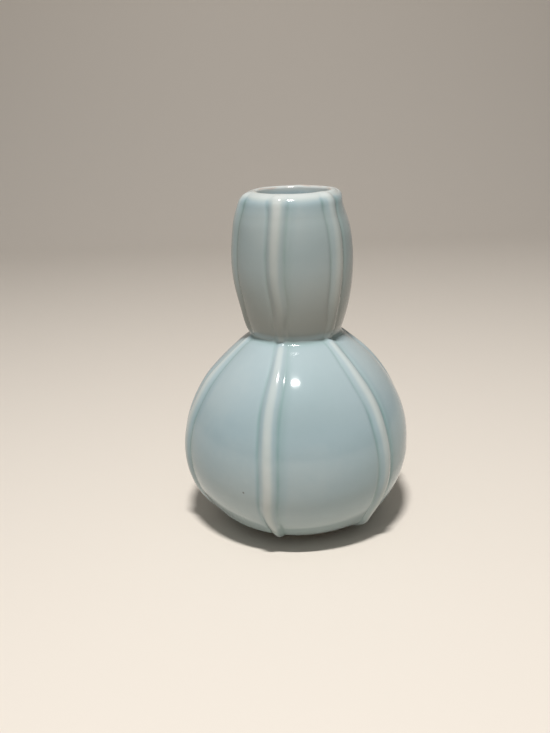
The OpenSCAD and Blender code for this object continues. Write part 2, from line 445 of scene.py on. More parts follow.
class UpperRelief(Relief):
    """The upper bulb's ribs, panels and rim. The tables hold one value for each rib."""

    bulb = "upper"
    outline_of = staticmethod(upper_outline)
    wave_strength = [0.25, -0.3, 0.35, -0.3, 0.3, -0.25]
    wave_phase = [1.0, 3.1, 0.2, 2.2, 4.3, 5.0]
    belly_stray = [-1.6, 0.5, -0.4, 0.5, -0.5, -1.2]
    low_stray = [0.3, -0.3, 0.2, 0.3, -0.2, 0.3]
    foot_stray = [-0.5, 0.1, -0.1, 0.2, 0.1, -0.2]
    rim_knob = [0.35, 0.75, 0.5, 1.0, 0.5, 0.4]

    def span(self):
        """Where the ribs begin and end along the outline."""
        return 0.0, self.marks[4]

    def rows(self):
        """Distances of the rows, closer in the crease and over the rim."""
        start = self.marks[1] + np.array([0.25, 0.6, 1.1])
        return self.outline.rows([0.1, 0.9, 0.85, 0.3, 0.2, 2.0, 3.0], start)

    def ribs(self, s):
        """Drawn half widths and heights by height, both less over the rim, where the rib melts away."""
        own = settings()
        top, over = self.marks[3:5]
        z = self.height(np.minimum(s, top))
        half = np.interp(z, [96, 103, 112, 129, 150, 158], [CREASE_RIB_HALF, 3.2, 3.9, 4.3, 4.4, 4.6])
        half = own.rib_width / MM / DRAWN_WIDTH * half * (1.0 - 0.35 * smooth_step(top, over, s))
        height = np.interp(z, [100, 110, 129, 150, 158], [0.85, 0.95, 1.0, 0.95, 0.8])
        height = own.upper_rib_height / MM * height * (1.0 - smooth_step(top, over - 0.4, s))
        return half, np.maximum(towards_crease(height, smooth_step(102, 94.5, z)), 0.02)

    def wander(self, s, i):
        """Slow waves, a sway at the widest line that is less at the rim, two strays below it, and the one
        shared at the crease."""
        z = self.height(np.minimum(s, self.marks[4]))
        sway = self.belly_stray[i] * smooth_step(102, 128, z) * (1.0 - 0.45 * smooth_step(132, 158, z))
        low = self.low_stray[i] * bell(z - 112.0, 8.0) + self.foot_stray[i] * bell(z - 101.0, 5.0)
        waves = self.wave_strength[i] * np.sin(z / 11.0 + self.wave_phase[i]) * smooth_step(93.5, 104, z)
        return waves + sway + low + CREASE_SHIFT[i] * bell(z - WAIST_Z, 9.0)

    def panel(self, s, azimuth):
        """Flatter panels, a groove along each rib, unevenness, a fuller band under the rim, and the sides
        where the hand-made bulb is wider than round."""
        z = self.height(s)
        outside = smooth_step(self.marks[4], self.marks[3] - 2.0, s)
        inside = smooth_step(94.5, 99, z) * outside
        lobes = -0.4 * settings().panel_flatness / MM * self.lobes(azimuth)
        groove = self.groove(s, azimuth) * smooth_step(157.5, 153, z)
        band = 0.5 * bell(z - 156.0, 2.3) - 0.2 * bell(z - 150.0, 3.0) + 0.2 * bell(z - 99, 6)
        left = 0.45 * plateau(100, 150, 8, z) + 0.7 * bell(z - 150, 7) - 0.5 * bell(z - 108, 10)
        right = 0.65 * plateau(100, 140, 10, z) + 0.3 * bell(z - 108, 10)
        lean = left * facing(azimuth, LEFT_SIDE, 40) + right * facing(azimuth, RIGHT_SIDE, 45)
        lean = lean + 0.6 * bell(z - 157, 2) * facing(azimuth, RIM_DENT, 14)
        uneven = 0.6 * self.unevenness(s, azimuth)
        swell = CREASE_SWELL * smooth_step(101, 94.5, z) * outside
        return inside * (lobes + groove + uneven + band + lean) + swell

    def shift(self, s, azimuth):
        """Besides the slip in the crease, the mouth lies a little to the right, and its wall is thicker than
        the shell below: from the edge's round down it follows a cone that narrows, and then fades into the
        shell."""
        r, z, _, _ = self.outline.at(s)
        marks = self.marks
        edge = np.array([LIP_R, RIM_Z - MOUTH_EDGE_ROUND]) + MOUTH_EDGE_ROUND * unit(np.pi - MOUTH_DRAFT)
        over_edge = s > marks[4] + MOUTH_EDGE_ROUND * (np.pi / 2 - MOUTH_DRAFT)
        cone = edge[0] - np.tan(MOUTH_DRAFT) * (edge[1] - z)
        collar = np.maximum(r - cone, 0.0) * over_edge * smooth_step(144, 153, z)
        aside = smooth_step(marks[3] + 1.0, marks[4] + 0.8, s) * smooth_step(marks[5] + 9.0, marks[5], s)
        aside = MOUTH_SHIFT * aside * facing(azimuth, MOUTH_SIDE, 38)
        return super().shift(s, azimuth) - collar + aside

    def wave(self, s, azimuth):
        """The rim's edge rises at each rib and dips between them, and fades out below the rim."""
        marks = self.marks
        strength = smooth_step(marks[3] - 5.0, marks[4], s) * smooth_step(marks[5] + 8.0, marks[5], s)
        knobs = sum(
            size * bell(wrapped(azimuth - middle), 0.17) for size, middle in zip(self.rim_knob, RIB_AZIMUTHS)
        )
        slow = 0.15 * np.sin(2 * azimuth + 0.6) - 0.15
        return settings().rim_wave / MM * strength * (knobs - 1.0 + slow)

    def depth(self, s, azimuth, crest):
        """The glaze runs thin over the rim, whose paler colour also stands in for painted top light, and
        within the mouth it is made deeper and darker as painted shade.
        """
        marks = self.marks
        # Thin glaze over the rim, paler still as painted top light
        rim = smooth_step(marks[3] - 1.5, marks[3] + 2.0, s) * smooth_step(marks[5] + 1.5, marks[5] - 1.2, s)
        depth = self.glaze_depth(s, azimuth, crest)
        # Painted shade within the mouth: the glaze is made deeper and darker below the edge
        within = smooth_step(marks[5] + 0.5, marks[5] + 6.0, s)
        return np.clip(depth * (1.0 - 0.85 * rim) + 0.04 * rim + 0.35 * within, 0.0, 1.0)

    def bare(self, s, azimuth):
        """Where the glaze has drawn back from the rim's sharpest line: a thin band, broken along its
        length."""
        line = self.marks[4] + 0.9 + 0.35 * np.sin(3 * azimuth + 0.5) + 0.2 * np.sin(11 * azimuth)
        strength = 0.55 + 0.3 * np.sin(5 * azimuth + 1.0) + 0.2 * np.sin(13 * azimuth + 2.0)
        return np.clip(bell(s - line, 0.5) * strength, 0.0, 1.0)


def spread(count):
    """Places from 0 to 1 that lie closer together at both ends: a blend of even steps and half a cosine."""
    v = np.linspace(0.0, 1.0, count)
    return 0.35 * v + 0.65 * (1.0 - np.cos(np.pi * v)) / 2.0


def bulb_columns(relief, s):
    """Azimuths of a bulb's columns at the distances s: a bed under each rib, then the panel up to the next
    rib. Also gives how deep the bed is there: (1 - t * t) squared, where t is 1 at the rib's edge."""
    azimuths, beds = [], []
    bed = np.linspace(-1.0, 1.0, ACROSS_BED + 1)
    panel = spread(ACROSS_PANEL + 1)[1:-1]
    for i in range(RIB_COUNT):
        low, high = relief.edges(s, i)
        following = relief.edges(s, (i + 1) % RIB_COUNT)[0] + (2 * np.pi if i == RIB_COUNT - 1 else 0.0)
        azimuths.append(low[:, None] + (high - low)[:, None] * (bed[None, :] + 1.0) / 2.0)
        azimuths.append(high[:, None] + (following - high)[:, None] * panel[None, :])
        beds.append(np.broadcast_to((1.0 - bed**2) ** 2, azimuths[-2].shape))
        beds.append(np.zeros(azimuths[-1].shape))
    return np.concatenate(azimuths, axis=1), np.concatenate(beds, axis=1)


def grid_faces(rows, columns, closed_rows=False, closed_columns=True, offset=0):
    """Quads between neighbouring rows and columns of a grid, which may close on itself either way."""
    j = np.arange(rows if closed_rows else rows - 1)
    k = np.arange(columns if closed_columns else columns - 1)
    j, k = np.meshgrid(j, k, indexing="ij")
    j2, k2 = (j + 1) % rows, (k + 1) % columns
    quads = np.stack([j * columns + k, j * columns + k2, j2 * columns + k2, j2 * columns + k], axis=-1)
    return quads.reshape(-1, 4) + offset


def build_piece(name, points, faces, slot, nodes, normals=None, **attributes):
    """Puts millimetre points and arrays of faces into a mesh with its normals and attributes, and rides it
    on the vase."""
    mesh = bpy.data.meshes.new(name)
    faces = [face for kind in faces for face in kind.tolist()]
    mesh.from_pydata((points.reshape(-1, 3) * MM).tolist(), [], faces)
    mesh.polygons.foreach_set("use_smooth", np.ones(len(faces), bool))
    for key, values in attributes.items():
        layer = mesh.attributes.new(key, "FLOAT", "POINT")
        layer.data.foreach_set("value", np.ravel(values).astype(np.float32))
    mesh.validate()
    mesh.update()
    if normals is not None:
        mesh.normals_split_custom_set_from_vertices(normals.reshape(-1, 3).tolist())
    piece = bpy.data.objects.new(name, mesh)
    bpy.context.scene.collection.objects.link(piece)
    piece.data.materials.append(shared_material(*LOOKS[slot]))
    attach(piece, "root")
    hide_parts(*nodes)
    return piece


# Materials


class Socket:
    """A shader value that takes part in sums and products, each of which adds a Math node."""

    def __init__(self, tree, value):
        self.tree = tree
        self.value = value

    def math(self, operation, a, b, clamp=False):
        """One Math node on two values, each a socket or a number."""
        return self.tree.node("ShaderNodeMath", {"operation": operation, "use_clamp": clamp}, {0: a, 1: b})[0]

    def __add__(self, other):
        return self.math("ADD", self, other)

    def __radd__(self, other):
        return self.math("ADD", other, self)

    def __sub__(self, other):
        return self.math("SUBTRACT", self, other)

    def __rsub__(self, other):
        return self.math("SUBTRACT", other, self)

    def __mul__(self, other):
        return self.math("MULTIPLY", self, other)

    def __rmul__(self, other):
        return self.math("MULTIPLY", other, self)

    def __truediv__(self, other):
        return self.math("DIVIDE", self, other)

    def __pow__(self, other):
        return self.math("POWER", self, other)

    def clamped(self):
        """The value cut off below 0 and above 1."""
        return self.math("ADD", self, 0.0, clamp=True)


class Shader:
    """The nodes of a material or of the world."""

    def __init__(self, owner):
        owner.use_nodes = True
        self.owner = owner
        self.nodes = owner.node_tree.nodes
        self.links = owner.node_tree.links
        self.nodes.clear()

    def node(self, kind, settings=None, inputs=None):
        """Adds a node, applies its settings and then its sockets' values or links, and wraps its outputs."""
        node = self.nodes.new(kind)
        for key, value in (settings or {}).items():
            if key == "stops":
                ramp = node.color_ramp.elements
                while len(ramp) > 1:
                    ramp.remove(ramp[-1])
                for n, (place, colour) in enumerate(value):
                    stop = ramp[0] if n == 0 else ramp.new(place)
                    stop.position = place
                    stop.color = (*colour, 1.0)
            else:
                setattr(node, key, value)
        for key, value in (inputs or {}).items():
            value = value.value if isinstance(value, Socket) else value
            if isinstance(value, bpy.types.NodeSocket):
                self.links.new(value, node.inputs[key])
            else:
                node.inputs[key].default_value = value
        return [Socket(self, output) for output in node.outputs]

    def mix(self, factor, a, b):
        """A blend of two colours, each a socket or three numbers."""
        a, b = (colour if isinstance(colour, Socket) else (*colour, 1.0) for colour in (a, b))
        return self.node("ShaderNodeMix", {"data_type": "RGBA"}, {0: factor, 6: a, 7: b})[2]

    def noise(self, place, scale, detail, roughness):
        """Clouds from 0 to 1, so many to a metre."""
        inputs = {"Vector": place, "Scale": scale, "Detail": detail, "Roughness": roughness}
        return self.node("ShaderNodeTexNoise", {}, inputs)[0]

    def split(self, place):
        """The three parts of a place."""
        return self.node("ShaderNodeSeparateXYZ", {}, {0: place})

    def distance(self, place, other):
        """How far apart two places are."""
        return self.node("ShaderNodeVectorMath", {"operation": "DISTANCE"}, {0: place, 1: other})[1]

    def attribute(self, name):
        """A value that the mesh holds at its points."""
        return self.node("ShaderNodeAttribute", {"attribute_type": "GEOMETRY", "attribute_name": name})[2]

    def finish(self, inputs):
        """Ends a material in one principled shader."""
        shader = self.node("ShaderNodeBsdfPrincipled", {}, inputs)[0]
        self.node("ShaderNodeOutputMaterial", {}, {"Surface": shader})
        return self.owner


def above(value, start, slope):
    """0 up to the start, then rising by the slope to 1."""
    return ((value - start) * slope).clamped()


def below(value, start, slope):
    """0 down to the start, then rising by the slope to 1."""
    return ((start - value) * slope).clamped()


def from_axis(parts):
    """Distance from the vase's axis: the root of the sum of both squares."""
    return (parts[0] * parts[0] + parts[1] * parts[1]) ** 0.5


def specks():
    """Places and radii, in metres, of the iron specks: each lies on the round form at an azimuth and a
    height."""
    azimuth = np.radians([-103.5, -4.0, 75.0, 28.0, 95.0, 141.0, -160.0, 190.0, 62.0])
    height = np.array([32.8, 47.0, 118.0, 66.0, 24.0, 58.0, 74.0, 133.0, 108.0])
    size = [0.75, 0.7, 0.5, 0.55, 0.7, 0.6, 0.5, 0.6, 0.55]
    lower, upper = lower_outline(1.0), upper_outline(1.0)
    low = lower.at(np.linspace(0.0, lower.marks[-1], 2000))
    high = upper.at(np.linspace(0.0, upper.marks[3], 2000))
    on_lower, on_upper = (np.interp(height, line[1], line[0]) for line in (low, high))
    radius = np.where(height < WAIST_Z, on_lower, on_upper)
    points = np.stack([radius * np.cos(azimuth), radius * np.sin(azimuth), height], axis=-1) * MM
    return [(tuple(point), float(r) * MM) for point, r in zip(points, size)]


def glaze_material(name):
    """Glossy celadon: its colour runs from a pale greyish white where the glaze is thin over pale blue-green
    to a deeper blue-green where it pools, with faint clouds, a few iron specks and a warm break on the rim.
    It is greener and paler low down, a painted reflection of the floor; greyer and darker on the upper bulb,
    a painted reflection of dark surroundings and painted shade towards the waist; and paler on the shoulder,
    a painted sheen of the top light. Heights are in metres."""
    own = settings()
    m = Shader(bpy.data.materials.new(name))
    place = m.node("ShaderNodeTexCoord")[3]
    clouds = m.noise(place, 38.0, 3.0, 0.55)
    fine = m.noise(place, 210.0, 3.0, 0.6)
    depth = m.attribute("glaze_depth") + (clouds - 0.5) * 0.14 + (fine - 0.5) * 0.07
    stops = [(0.0, own.rim_glaze_and_top_light), (0.2, own.crest_glaze), (0.5, own.panel_glaze), (1.0, own.pooled_glaze)]
    colour = m.node("ShaderNodeValToRGB", {"stops": stops}, {0: depth.clamped()})[0]
    warm = m.noise(place, 16.0, 2.0, 0.5)
    colour = m.mix((warm - 0.38).clamped() * 0.35, colour, own.cloud_and_floor_reflection)
    height = m.split(place)[2]
    # Painted reflection of the bright floor: below 34 mm the glaze is mixed towards this greener, paler tone
    colour = m.mix(below(height, 0.034, 50.0) * 0.4, colour, own.cloud_and_floor_reflection)
    # Painted reflection of dark surroundings and painted shade: the upper bulb's glaze is mixed towards a
    # darker grey, most towards the waist and least at the rim
    aloft = above(height, WAIST_Z * MM, 250.0)
    shade_near_waist = below(height, 0.128, 40.0)
    near_rim = above(height, 0.150, 200.0)
    greyer = aloft * (0.45 + shade_near_waist * 0.5) * (1.0 - near_rim * 0.8)
    colour = m.mix(greyer, colour, own.upper_painted_shade)
    # Painted sheen of the top light: the lower bulb's shoulder, above 62 mm, is mixed towards a paler colour
    shoulder = above(height, 0.062, 40.0) * (1.0 - aloft)
    colour = m.mix(shoulder * 0.3, colour, own.shoulder_painted_sheen)
    near = [(1.0 - m.distance(place, centre) / size).clamped() for centre, size in specks()]
    speck = sum(near[1:], near[0])
    colour = m.mix((speck * 1.8).clamped() * 0.75, colour, own.iron_speck)
    bare = m.attribute("bare_edge")
    grain = m.noise(place, 900.0, 2.0, 0.6)
    drawn_back = (bare * (0.75 + grain * 0.5)).clamped()
    colour = m.mix(drawn_back, colour, own.bare_edge)
    ripple = m.noise(place, 60.0, 2.0, 0.45)
    dimple = m.noise(place, 420.0, 1.0, 0.4)
    relief = ripple * 1.0 + dimple * 0.07 - speck * 0.1
    bump = m.node("ShaderNodeBump", {}, {"Strength": 0.25, "Distance": 0.0009, "Height": relief})[0]
    rough = own.glaze_roughness + (clouds - 0.5) * 0.05 + drawn_back * 0.22
    return m.finish({"Base Color": colour, "Roughness": rough.clamped(), "Normal": bump, "IOR": 1.52})


def biscuit_material(name):
    """Bare fired clay: pale tan with fine grain, turning marks round the axis and a darker burnt line."""
    own = settings()
    m = Shader(bpy.data.materials.new(name))
    place = m.node("ShaderNodeTexCoord")[3]
    parts = m.split(place)
    across = from_axis(parts)
    grain = m.noise(place, 1400.0, 3.0, 0.65)
    clouds = m.noise(place, 90.0, 3.0, 0.5)
    rings = m.node("ShaderNodeMath", {"operation": "SINE"}, {0: across * 9000.0})[0]
    colour = m.mix((grain - 0.2).clamped() * 0.5, own.biscuit, own.biscuit_grain)
    colour = m.mix((clouds - 0.4).clamped() * 0.8, colour, own.bare_edge)
    burnt = above(parts[2], 0.0022, 1500.0)
    colour = m.mix(burnt * 0.7, colour, own.iron_speck)
    height = grain * 0.5 + rings * 0.12
    bump = m.node("ShaderNodeBump", {}, {"Strength": 0.5, "Distance": 0.0003, "Height": height})[0]
    rough = (0.78 + (grain - 0.5) * 0.2).clamped()
    return m.finish({"Base Color": colour, "Roughness": rough, "Normal": bump})


def stage_material(name, colour):
    """Matt paint with faint clouds. Seen from below it is clear, and so is the disc that the foot ring
    covers, so that a view from below shows the vase, and light reaches the hollow of its foot."""
    m = Shader(bpy.data.materials.new(name))
    place = m.node("ShaderNodeTexCoord")[3]
    tone = m.noise(place, 3.0, 2.0, 0.5)
    shade = m.mix(tone * 0.06, colour, tuple(0.85 * c for c in colour))
    paint = m.node("ShaderNodeBsdfPrincipled", {}, {"Base Color": shade, "Roughness": 0.6})[0]
    covered = below(from_axis(m.split(place)), FOOT_DISC, SHARP)
    from_below = m.node("ShaderNodeNewGeometry")[6]
    clear = m.node("ShaderNodeBsdfTransparent")[0]
    open_to = (covered + from_below).clamped()
    surface = m.node("ShaderNodeMixShader", {}, {0: open_to, 1: paint, 2: clear})[0]
    m.node("ShaderNodeOutputMaterial", {}, {"Surface": surface})
    return m.owner


def shared_material(name, maker):
    """The material of that name, made on its first use."""
    return bpy.data.materials.get(name) or maker(name)


# The name and the maker of each slot's material
LOOKS = {
    "celadon_glaze": ("glaze_on_bulbs", glaze_material),
    "rib_glaze": ("glaze_on_ribs", glaze_material),
    "bare_biscuit": ("bare_clay", biscuit_material),
}


# Settings that a user would change


def measure(name, description, default):
    """A length that the sidebar shows."""
    return bpy.props.FloatProperty(name=name, description=description, default=default, unit="LENGTH")


def tint(name, description, default):
    """A colour that the sidebar shows."""
    return bpy.props.FloatVectorProperty(
        name=name, description=description, default=default, size=3, subtype="COLOR"
    )


class GourdVaseSettings(bpy.types.PropertyGroup):
    """Sizes, colours and light that a user would change"""

    lower_rib_height: measure("Lower rib height", "Height of the lower ribs at the belly", 0.00128)
    upper_rib_height: measure("Upper rib height", "Height of the upper ribs at the widest line", 0.00115)
    rib_width: measure("Rib width", "Width of a lower rib at the belly, from flank to flank", 0.0093)
    groove_depth: measure("Groove depth", "Depth of the groove along both flanks of a rib", 0.0003)
    panel_flatness: measure("Panel flatness", "How far the middle of a panel lies within the round", 0.0004)
    unevenness: measure("Unevenness", "Height of the slow waves left by the hand", 0.00016)
    rim_wave: measure("Rim wave", "How far the rim dips between two ribs", 0.0002)
    crease_fillet: measure("Crease fillet", "Radius of the pooled glaze in the waist's crease", 0.0023)
    # Thin glaze, and also painted top light on the rim
    rim_glaze_and_top_light: tint("Rim glaze", "Colour where the glaze is thinnest", (0.63, 0.64, 0.63))
    # A painted sheen of the top light on the lower bulb's shoulder
    shoulder_painted_sheen: tint("Shoulder glaze", "Colour of the thinner shoulder", (0.56, 0.63, 0.64))
    crest_glaze: tint("Crest glaze", "Colour over the crests of the ribs", (0.50, 0.56, 0.555))
    panel_glaze: tint("Panel glaze", "Colour of the panels", (0.335, 0.435, 0.472))
    pooled_glaze: tint("Pooled glaze", "Colour where the glaze gathers", (0.22, 0.34, 0.345))
    # Real faint clouds, and also the painted reflection of the floor low on the lower bulb
    cloud_and_floor_reflection: tint("Warm cloud", "Greener tone of the faint clouds", (0.40, 0.44, 0.41))
    # A painted reflection and shade on the upper bulb, darkest towards the waist
    upper_painted_shade: tint("Upper tone", "Greyer tone of the glaze on the upper bulb", (0.285, 0.30, 0.275))
    bare_edge: tint("Bare edge", "Colour of the clay where the glaze draws back", (0.47, 0.40, 0.35))
    iron_speck: tint("Iron speck", "Colour of the specks", (0.09, 0.06, 0.045))
    biscuit: tint("Biscuit", "Colour of the bare foot ring", (0.60, 0.48, 0.38))
    biscuit_grain: tint("Biscuit grain", "Colour of the clay's grain", (0.44, 0.33, 0.25))
    glaze_roughness: bpy.props.FloatProperty(
        name="Glaze roughness", description="Roughness of the glaze", default=0.11, min=0.0, max=1.0,
        subtype="FACTOR",
    )
    floor_colour: tint("Floor", "Colour of the floor", (0.76, 0.70, 0.63))
    lamp_power: bpy.props.FloatProperty(
        name="Lamp power", description="Power of the lamp above the vase", default=11.0, min=0.0, unit="POWER"
    )
    sky_strength: bpy.props.FloatProperty(
        name="Sky strength", description="Strength of the even light from all sides", default=0.26, min=0.0
    )


# Operators, one for each piece or group of like pieces


class GOURD_OT_lower_bulb(bpy.types.Operator):
    """Make the lower bulb with its closed floor and its open throat"""

    bl_idname = "gourd_vase.lower_bulb"
    bl_label = "Lower bulb"

    def execute(self, context):
        relief = LowerRelief()
        s, azimuth, outer, normals, depth, edge = bulb_outside(relief)

        # Inside: the wall's offset from the throat down to the floor, then the floor
        centres, rounds = relief.outline.centre, relief.outline.radius - WALL
        throat_turn = np.arccos((THROAT_R - centres[3][0]) / rounds[3])
        inner = Outline(
            [
                (centres[3], rounds[3], throat_turn, SHOULDER_TURN, -1.0),
                (centres[2], rounds[2], SHOULDER_TURN, 0.0, -1.0),
                (centres[1], rounds[1], 0.0, -HAUNCH_TURN, -1.0),
                (centres[0], rounds[0], relief.outline.last[0], relief.outline.first[0], -1.0),
            ]
        )
        inner_r, inner_z, _, _ = inner.at(inner.rows([3.0, 3.0, 3.0, 2.0]))
        floor_r = np.linspace(inner_r[-1], 0.0, 8)[1:-1]
        top_r = np.linspace(relief.radius(s[-1:])[0], THROAT_R, 4)[1:]
        rest_r = np.concatenate([top_r, [THROAT_R], inner_r[1:], floor_r])
        rest_z = np.concatenate(
            [np.full(3, WAIST_Z), [inner_z[0] + 0.4], inner_z[1:], np.full(len(floor_r), inner_z[-1])]
        )
        under_r = np.linspace(0.0, FOOT_R, 10)[1:-1]
        rest = revolve(rest_r, rest_z, azimuth[-1])
        under = revolve(under_r, np.full(len(under_r), FOOT_H), azimuth[0])
        grid = np.concatenate([under, outer, rest])
        rows, columns = grid.shape[:2]
        points = np.concatenate([grid.reshape(-1, 3), [[0.0, 0.0, FOOT_H], [0.0, 0.0, inner_z[-1]]]])
        foot_pole, floor_pole = rows * columns, rows * columns + 1
        k = np.arange(columns)
        k2 = (k + 1) % columns
        last = (rows - 1) * columns
        triangles = np.concatenate(
            [
                np.stack([np.full(columns, foot_pole), k2, k], axis=-1),
                np.stack([np.full(columns, floor_pole), last + k, last + k2], axis=-1),
            ]
        )
        # Only the outside has its own normals; zeros leave the others as the mesh has them
        none_under, none_inside = np.zeros((len(under_r), columns)), np.zeros((len(rest_r), columns))
        all_normals = np.concatenate([np.zeros(under.shape), normals, np.zeros(rest.shape)])
        depths = np.concatenate([none_under + UNDER_DEPTH, depth, none_inside + INSIDE_DEPTH])
        build_piece(
            "lower_bulb_glazed",
            points,
            [grid_faces(rows, columns), triangles],
            "celadon_glaze",
            ["lower_bulb"],
            np.append(all_normals, np.zeros((2, 3))),
            glaze_depth=np.append(depths, [UNDER_DEPTH, INSIDE_DEPTH]),
            bare_edge=np.append(np.concatenate([none_under, edge, none_inside]), [0.0, 0.0]),
        )
        return {"FINISHED"}


class GOURD_OT_upper_bulb(bpy.types.Operator):
    """Make the upper bulb with its rounded rim and its open mouth"""

    bl_idname = "gourd_vase.upper_bulb"
    bl_label = "Upper bulb"

    def execute(self, context):
        relief = UpperRelief()
        s, azimuth, outer, normals, depth, edge = bulb_outside(relief)

        # The inner wall comes down to the throat, and a flat seat leads back out to the crease
        rest_r = np.concatenate([[THROAT_R], np.linspace(THROAT_R, relief.radius(s[:1])[0], 4)[:-1]])
        rest_z = np.concatenate([[WAIST_Z + 2.0], np.full(3, WAIST_Z)])
        rest = revolve(rest_r, rest_z, azimuth[0])
        grid = np.concatenate([outer, rest])
        rows, columns = grid.shape[:2]
        flat = np.zeros((len(rest_r), columns))
        build_piece(
            "upper_bulb_glazed",
            grid,
            [grid_faces(rows, columns, closed_rows=True)],
            "celadon_glaze",
            ["upper_bulb"],
            np.concatenate([normals, np.zeros(rest.shape)]),
            glaze_depth=np.concatenate([depth, flat + INSIDE_DEPTH]),
            bare_edge=np.concatenate([edge, flat]),
        )
        return {"FINISHED"}


def bulb_outside(relief):
    """A bulb's outside with a bed under each rib: its rows, azimuths, points, normals, glaze depths and bare
    edges."""
    s = relief.rows()
    azimuth, bed = bulb_columns(relief, s)
    s2 = np.broadcast_to(s[:, None], azimuth.shape)
    bed = bed * (s2 <= relief.span()[1] + 1e-6)
    points = relief.point(s2, azimuth, -(bed * np.minimum(BED_DEPTH, relief.ribs(s2)[1])))
    normals = relief.normals(s2, azimuth)
    return s, azimuth, points, normals, relief.depth(s2, azimuth, bed), relief.bare(s2, azimuth)


def revolve(r, z, azimuth):
    """Rows of points at the radii and heights, each turned to every azimuth."""
    ring = np.stack([np.cos(azimuth), np.sin(azimuth)], axis=-1)
    flat = r[:, None, None] * ring[None]
    return np.concatenate([flat, np.broadcast_to(z[:, None, None], (*flat.shape[:2], 1))], axis=-1)


def make_ribs(relief):
    """All ribs of a bulb, on those of the bulb's rows that the ribs span."""
    first, last = relief.span()
    s = relief.rows()
    s = s[(s >= first - 1e-6) & (s <= last + 1e-6)]
    for i in range(RIB_COUNT):
        make_rib(relief, s, i, f"{relief.bulb}_rib_{i + 1}")


def make_rib(relief, s, i, node):
    """One rib as a closed lens: its back is the panel's surface raised by the rib's height, and its
    underside lies just over the bulb's bed. Both meet at the rib's edges, where they share the bulb's own
    points."""
    t = np.linspace(-1.0, 1.0, ACROSS_RIB)
    low, high = relief.edges(s, i)
    azimuth = low[:, None] + (high - low)[:, None] * (t[None, :] + 1.0) / 2.0
    s2 = np.broadcast_to(s[:, None], azimuth.shape)
    shape = (1.0 - t**2) ** 2
    height = relief.ribs(s2)[1]
    back = relief.point(s2, azimuth, shape * height)
    under = relief.point(s2, azimuth, -BED_FILL * shape * np.minimum(BED_DEPTH, height))
    ring = np.concatenate([back, under[:, -2:0:-1]], axis=1)
    normals = relief.normals(s2, azimuth, relief.rib_lift(i))
    under_normals = np.zeros((len(s), ACROSS_RIB - 2, 3))
    rows, columns = ring.shape[:2]
    depth = relief.depth(s2, azimuth, np.broadcast_to(shape, azimuth.shape))
    edge = relief.bare(s2, azimuth)
    across = np.arange(ACROSS_RIB - 1)
    opposite = (columns - across) % columns
    opposite_next = columns - across - 1
    first_cap = np.stack([across + 1, across, opposite, opposite_next], axis=-1)
    end = (rows - 1) * columns
    last_cap = np.stack([end + across, end + across + 1, end + opposite_next, end + opposite], axis=-1)
    caps = np.concatenate([first_cap[1:-1], last_cap[1:-1]])
    corners = np.array(
        [
            [1, 0, columns - 1],
            [ACROSS_RIB - 1, ACROSS_RIB - 2, ACROSS_RIB],
            [end, end + 1, end + columns - 1],
            [end + ACROSS_RIB - 2, end + ACROSS_RIB - 1, end + ACROSS_RIB],
        ]
    )
    build_piece(
        f"{node}_glazed",
        ring,
        [grid_faces(rows, columns), caps, corners],
        "rib_glaze",
        [node],
        np.concatenate([normals, under_normals], axis=1),
        glaze_depth=np.concatenate([depth, depth[:, -2:0:-1]], axis=1),
        bare_edge=np.concatenate([edge, edge[:, -2:0:-1]], axis=1),
    )


class GOURD_OT_lower_ribs(bpy.types.Operator):
    """Make the lower bulb's ribs, from their rounded tips near the foot up to the waist"""

    bl_idname = "gourd_vase.lower_ribs"
    bl_label = "Lower ribs"

    def execute(self, context):
        make_ribs(LowerRelief())
        return {"FINISHED"}


class GOURD_OT_upper_ribs(bpy.types.Operator):
    """Make the upper bulb's ribs, from the waist up to where they melt into the rim"""

    bl_idname = "gourd_vase.upper_ribs"
    bl_label = "Upper ribs"

    def execute(self, context):
        make_ribs(UpperRelief())
        return {"FINISHED"}


class GOURD_OT_foot_ring(bpy.types.Operator):
    """Make the turned foot ring of bare clay"""

    bl_idname = "gourd_vase.foot_ring"
    bl_label = "Foot ring"

    def execute(self, context):
        corners = np.array(
            [
                [30.0, 3.0], [29.92, 2.6], [29.3, 0.95], [29.0, 0.5], [28.55, 0.14], [28.2, 0.0],
                [26.0, 0.0], [25.65, 0.14], [25.25, 0.5], [25.05, 0.95], [25.0, 2.6], [25.0, 3.0],
            ]
        )
        length = np.concatenate([[0.0], np.cumsum(np.hypot(*np.diff(corners, axis=0).T))])
        u = np.unique(np.concatenate([np.linspace(0.0, length[-1], 60), length]))
        r, z = np.interp(u, length, corners[:, 0]), np.interp(u, length, corners[:, 1])
        azimuth = np.linspace(0.0, 2 * np.pi, 240, endpoint=False)
        points = revolve(r, z, azimuth)
        # The turning tool leaves fine rings, and the ring is a little out of round inwards
        middle = (FOOT_R + FOOT_INNER_R) / 2
        ring = 0.03 * np.sin(u * 5.0)[:, None]
        wobble = 0.08 * (1.0 + np.sin(2 * azimuth + 0.7))[None, :] / 2.0
        inwards = 1.0 + (ring - 0.03 - wobble) * np.sign(r - middle)[:, None] / r[:, None]
        points[..., :2] *= inwards[..., None]
        rows, columns = points.shape[:2]
        faces = grid_faces(rows, columns, closed_rows=True)[:, ::-1]
        build_piece("foot_ring_turned", points, [faces], "bare_biscuit", ["foot_ring"])
        return {"FINISHED"}


